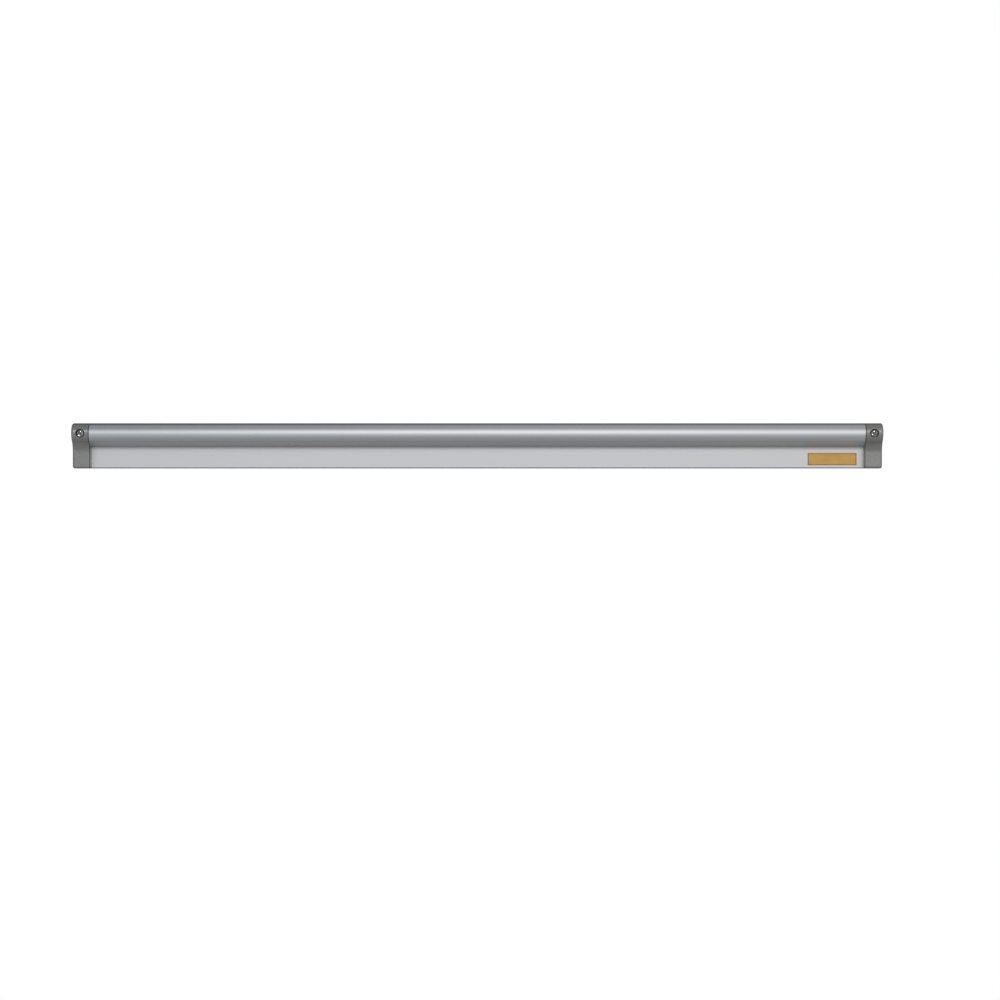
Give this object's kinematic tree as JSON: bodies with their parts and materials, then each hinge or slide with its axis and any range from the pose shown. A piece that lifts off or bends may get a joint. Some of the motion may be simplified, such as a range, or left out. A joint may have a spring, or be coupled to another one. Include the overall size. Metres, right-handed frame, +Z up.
{
  "type": "order ticket rail",
  "caption": "Wall-mounted order ticket rail: a hooded aluminium channel whose loose glass marbles grip paper slips pushed up from below, with moulded end caps screwed to the wall.",
  "frame": {"origin": "on the wall plane, midway along the rail, on the line through both mounting screws", "axes": "+X along the rail to the right as seen from the front, +Y into the wall, +Z up"},
  "size_m": [0.915, 0.0425, 0.051],
  "materials": {
    "aluminium_profile": "satin anodised, drawn along its length",
    "cap_plastic": "fine satin moulding texture, warm mid grey",
    "screw_metal": "bright chrome plate",
    "label_foil": "gold foil faced sticker, left blank",
    "marble_glass": "clear glass with a faint green tint"
  },
  "bodies": {
    "base": {"rail": "aluminium_profile", "end_cap_left": "cap_plastic", "end_cap_right": "cap_plastic", "screw_left": "screw_metal", "screw_right": "screw_metal", "label": "label_foil"},
    "marble_01": {"marble_01": "marble_glass"},
    "marble_02": {"marble_02": "marble_glass"},
    "marble_03": {"marble_03": "marble_glass"},
    "marble_04": {"marble_04": "marble_glass"},
    "marble_05": {"marble_05": "marble_glass"},
    "marble_06": {"marble_06": "marble_glass"},
    "marble_07": {"marble_07": "marble_glass"},
    "marble_08": {"marble_08": "marble_glass"},
    "marble_09": {"marble_09": "marble_glass"},
    "marble_10": {"marble_10": "marble_glass"},
    "marble_11": {"marble_11": "marble_glass"},
    "marble_12": {"marble_12": "marble_glass"},
    "marble_13": {"marble_13": "marble_glass"},
    "marble_14": {"marble_14": "marble_glass"},
    "marble_15": {"marble_15": "marble_glass"},
    "marble_16": {"marble_16": "marble_glass"},
    "marble_17": {"marble_17": "marble_glass"},
    "marble_18": {"marble_18": "marble_glass"},
    "marble_19": {"marble_19": "marble_glass"},
    "marble_20": {"marble_20": "marble_glass"},
    "marble_21": {"marble_21": "marble_glass"},
    "marble_22": {"marble_22": "marble_glass"},
    "marble_23": {"marble_23": "marble_glass"},
    "marble_24": {"marble_24": "marble_glass"},
    "marble_25": {"marble_25": "marble_glass"},
    "marble_26": {"marble_26": "marble_glass"},
    "marble_27": {"marble_27": "marble_glass"},
    "marble_28": {"marble_28": "marble_glass"},
    "marble_29": {"marble_29": "marble_glass"},
    "marble_30": {"marble_30": "marble_glass"},
    "marble_31": {"marble_31": "marble_glass"},
    "marble_32": {"marble_32": "marble_glass"},
    "marble_33": {"marble_33": "marble_glass"},
    "marble_34": {"marble_34": "marble_glass"},
    "marble_35": {"marble_35": "marble_glass"},
    "marble_36": {"marble_36": "marble_glass"},
    "marble_37": {"marble_37": "marble_glass"},
    "marble_38": {"marble_38": "marble_glass"},
    "marble_39": {"marble_39": "marble_glass"},
    "marble_40": {"marble_40": "marble_glass"},
    "marble_41": {"marble_41": "marble_glass"},
    "marble_42": {"marble_42": "marble_glass"},
    "marble_43": {"marble_43": "marble_glass"},
    "marble_44": {"marble_44": "marble_glass"},
    "marble_45": {"marble_45": "marble_glass"},
    "marble_46": {"marble_46": "marble_glass"},
    "marble_47": {"marble_47": "marble_glass"},
    "marble_48": {"marble_48": "marble_glass"},
    "marble_49": {"marble_49": "marble_glass"},
    "marble_50": {"marble_50": "marble_glass"},
    "marble_51": {"marble_51": "marble_glass"},
    "marble_52": {"marble_52": "marble_glass"}
  },
  "joints": [
    {"name": "marble_01_lift", "type": "slide", "parent": "base", "child": "marble_01", "axis": [0, -0.8192, 0.5736], "range_m": [0, 0.0032]},
    {"name": "marble_02_lift", "type": "slide", "parent": "base", "child": "marble_02", "axis": [0, -0.8192, 0.5736], "range_m": [0, 0.0032]},
    {"name": "marble_03_lift", "type": "slide", "parent": "base", "child": "marble_03", "axis": [0, -0.8192, 0.5736], "range_m": [0, 0.0032]},
    {"name": "marble_04_lift", "type": "slide", "parent": "base", "child": "marble_04", "axis": [0, -0.8192, 0.5736], "range_m": [0, 0.0032]},
    {"name": "marble_05_lift", "type": "slide", "parent": "base", "child": "marble_05", "axis": [0, -0.8192, 0.5736], "range_m": [0, 0.0032]},
    {"name": "marble_06_lift", "type": "slide", "parent": "base", "child": "marble_06", "axis": [0, -0.8192, 0.5736], "range_m": [0, 0.0032]},
    {"name": "marble_07_lift", "type": "slide", "parent": "base", "child": "marble_07", "axis": [0, -0.8192, 0.5736], "range_m": [0, 0.0032]},
    {"name": "marble_08_lift", "type": "slide", "parent": "base", "child": "marble_08", "axis": [0, -0.8192, 0.5736], "range_m": [0, 0.0032]},
    {"name": "marble_09_lift", "type": "slide", "parent": "base", "child": "marble_09", "axis": [0, -0.8192, 0.5736], "range_m": [0, 0.0032]},
    {"name": "marble_10_lift", "type": "slide", "parent": "base", "child": "marble_10", "axis": [0, -0.8192, 0.5736], "range_m": [0, 0.0032]},
    {"name": "marble_11_lift", "type": "slide", "parent": "base", "child": "marble_11", "axis": [0, -0.8192, 0.5736], "range_m": [0, 0.0032]},
    {"name": "marble_12_lift", "type": "slide", "parent": "base", "child": "marble_12", "axis": [0, -0.8192, 0.5736], "range_m": [0, 0.0032]},
    {"name": "marble_13_lift", "type": "slide", "parent": "base", "child": "marble_13", "axis": [0, -0.8192, 0.5736], "range_m": [0, 0.0032]},
    {"name": "marble_14_lift", "type": "slide", "parent": "base", "child": "marble_14", "axis": [0, -0.8192, 0.5736], "range_m": [0, 0.0032]},
    {"name": "marble_15_lift", "type": "slide", "parent": "base", "child": "marble_15", "axis": [0, -0.8192, 0.5736], "range_m": [0, 0.0032]},
    {"name": "marble_16_lift", "type": "slide", "parent": "base", "child": "marble_16", "axis": [0, -0.8192, 0.5736], "range_m": [0, 0.0032]},
    {"name": "marble_17_lift", "type": "slide", "parent": "base", "child": "marble_17", "axis": [0, -0.8192, 0.5736], "range_m": [0, 0.0032]},
    {"name": "marble_18_lift", "type": "slide", "parent": "base", "child": "marble_18", "axis": [0, -0.8192, 0.5736], "range_m": [0, 0.0032]},
    {"name": "marble_19_lift", "type": "slide", "parent": "base", "child": "marble_19", "axis": [0, -0.8192, 0.5736], "range_m": [0, 0.0032]},
    {"name": "marble_20_lift", "type": "slide", "parent": "base", "child": "marble_20", "axis": [0, -0.8192, 0.5736], "range_m": [0, 0.0032]},
    {"name": "marble_21_lift", "type": "slide", "parent": "base", "child": "marble_21", "axis": [0, -0.8192, 0.5736], "range_m": [0, 0.0032]},
    {"name": "marble_22_lift", "type": "slide", "parent": "base", "child": "marble_22", "axis": [0, -0.8192, 0.5736], "range_m": [0, 0.0032]},
    {"name": "marble_23_lift", "type": "slide", "parent": "base", "child": "marble_23", "axis": [0, -0.8192, 0.5736], "range_m": [0, 0.0032]},
    {"name": "marble_24_lift", "type": "slide", "parent": "base", "child": "marble_24", "axis": [0, -0.8192, 0.5736], "range_m": [0, 0.0032]},
    {"name": "marble_25_lift", "type": "slide", "parent": "base", "child": "marble_25", "axis": [0, -0.8192, 0.5736], "range_m": [0, 0.0032]},
    {"name": "marble_26_lift", "type": "slide", "parent": "base", "child": "marble_26", "axis": [0, -0.8192, 0.5736], "range_m": [0, 0.0032]},
    {"name": "marble_27_lift", "type": "slide", "parent": "base", "child": "marble_27", "axis": [0, -0.8192, 0.5736], "range_m": [0, 0.0032]},
    {"name": "marble_28_lift", "type": "slide", "parent": "base", "child": "marble_28", "axis": [0, -0.8192, 0.5736], "range_m": [0, 0.0032]},
    {"name": "marble_29_lift", "type": "slide", "parent": "base", "child": "marble_29", "axis": [0, -0.8192, 0.5736], "range_m": [0, 0.0032]},
    {"name": "marble_30_lift", "type": "slide", "parent": "base", "child": "marble_30", "axis": [0, -0.8192, 0.5736], "range_m": [0, 0.0032]},
    {"name": "marble_31_lift", "type": "slide", "parent": "base", "child": "marble_31", "axis": [0, -0.8192, 0.5736], "range_m": [0, 0.0032]},
    {"name": "marble_32_lift", "type": "slide", "parent": "base", "child": "marble_32", "axis": [0, -0.8192, 0.5736], "range_m": [0, 0.0032]},
    {"name": "marble_33_lift", "type": "slide", "parent": "base", "child": "marble_33", "axis": [0, -0.8192, 0.5736], "range_m": [0, 0.0032]},
    {"name": "marble_34_lift", "type": "slide", "parent": "base", "child": "marble_34", "axis": [0, -0.8192, 0.5736], "range_m": [0, 0.0032]},
    {"name": "marble_35_lift", "type": "slide", "parent": "base", "child": "marble_35", "axis": [0, -0.8192, 0.5736], "range_m": [0, 0.0032]},
    {"name": "marble_36_lift", "type": "slide", "parent": "base", "child": "marble_36", "axis": [0, -0.8192, 0.5736], "range_m": [0, 0.0032]},
    {"name": "marble_37_lift", "type": "slide", "parent": "base", "child": "marble_37", "axis": [0, -0.8192, 0.5736], "range_m": [0, 0.0032]},
    {"name": "marble_38_lift", "type": "slide", "parent": "base", "child": "marble_38", "axis": [0, -0.8192, 0.5736], "range_m": [0, 0.0032]},
    {"name": "marble_39_lift", "type": "slide", "parent": "base", "child": "marble_39", "axis": [0, -0.8192, 0.5736], "range_m": [0, 0.0032]},
    {"name": "marble_40_lift", "type": "slide", "parent": "base", "child": "marble_40", "axis": [0, -0.8192, 0.5736], "range_m": [0, 0.0032]},
    {"name": "marble_41_lift", "type": "slide", "parent": "base", "child": "marble_41", "axis": [0, -0.8192, 0.5736], "range_m": [0, 0.0032]},
    {"name": "marble_42_lift", "type": "slide", "parent": "base", "child": "marble_42", "axis": [0, -0.8192, 0.5736], "range_m": [0, 0.0032]},
    {"name": "marble_43_lift", "type": "slide", "parent": "base", "child": "marble_43", "axis": [0, -0.8192, 0.5736], "range_m": [0, 0.0032]},
    {"name": "marble_44_lift", "type": "slide", "parent": "base", "child": "marble_44", "axis": [0, -0.8192, 0.5736], "range_m": [0, 0.0032]},
    {"name": "marble_45_lift", "type": "slide", "parent": "base", "child": "marble_45", "axis": [0, -0.8192, 0.5736], "range_m": [0, 0.0032]},
    {"name": "marble_46_lift", "type": "slide", "parent": "base", "child": "marble_46", "axis": [0, -0.8192, 0.5736], "range_m": [0, 0.0032]},
    {"name": "marble_47_lift", "type": "slide", "parent": "base", "child": "marble_47", "axis": [0, -0.8192, 0.5736], "range_m": [0, 0.0032]},
    {"name": "marble_48_lift", "type": "slide", "parent": "base", "child": "marble_48", "axis": [0, -0.8192, 0.5736], "range_m": [0, 0.0032]},
    {"name": "marble_49_lift", "type": "slide", "parent": "base", "child": "marble_49", "axis": [0, -0.8192, 0.5736], "range_m": [0, 0.0032]},
    {"name": "marble_50_lift", "type": "slide", "parent": "base", "child": "marble_50", "axis": [0, -0.8192, 0.5736], "range_m": [0, 0.0032]},
    {"name": "marble_51_lift", "type": "slide", "parent": "base", "child": "marble_51", "axis": [0, -0.8192, 0.5736], "range_m": [0, 0.0032]},
    {"name": "marble_52_lift", "type": "slide", "parent": "base", "child": "marble_52", "axis": [0, -0.8192, 0.5736], "range_m": [0, 0.0032]}
  ]
}
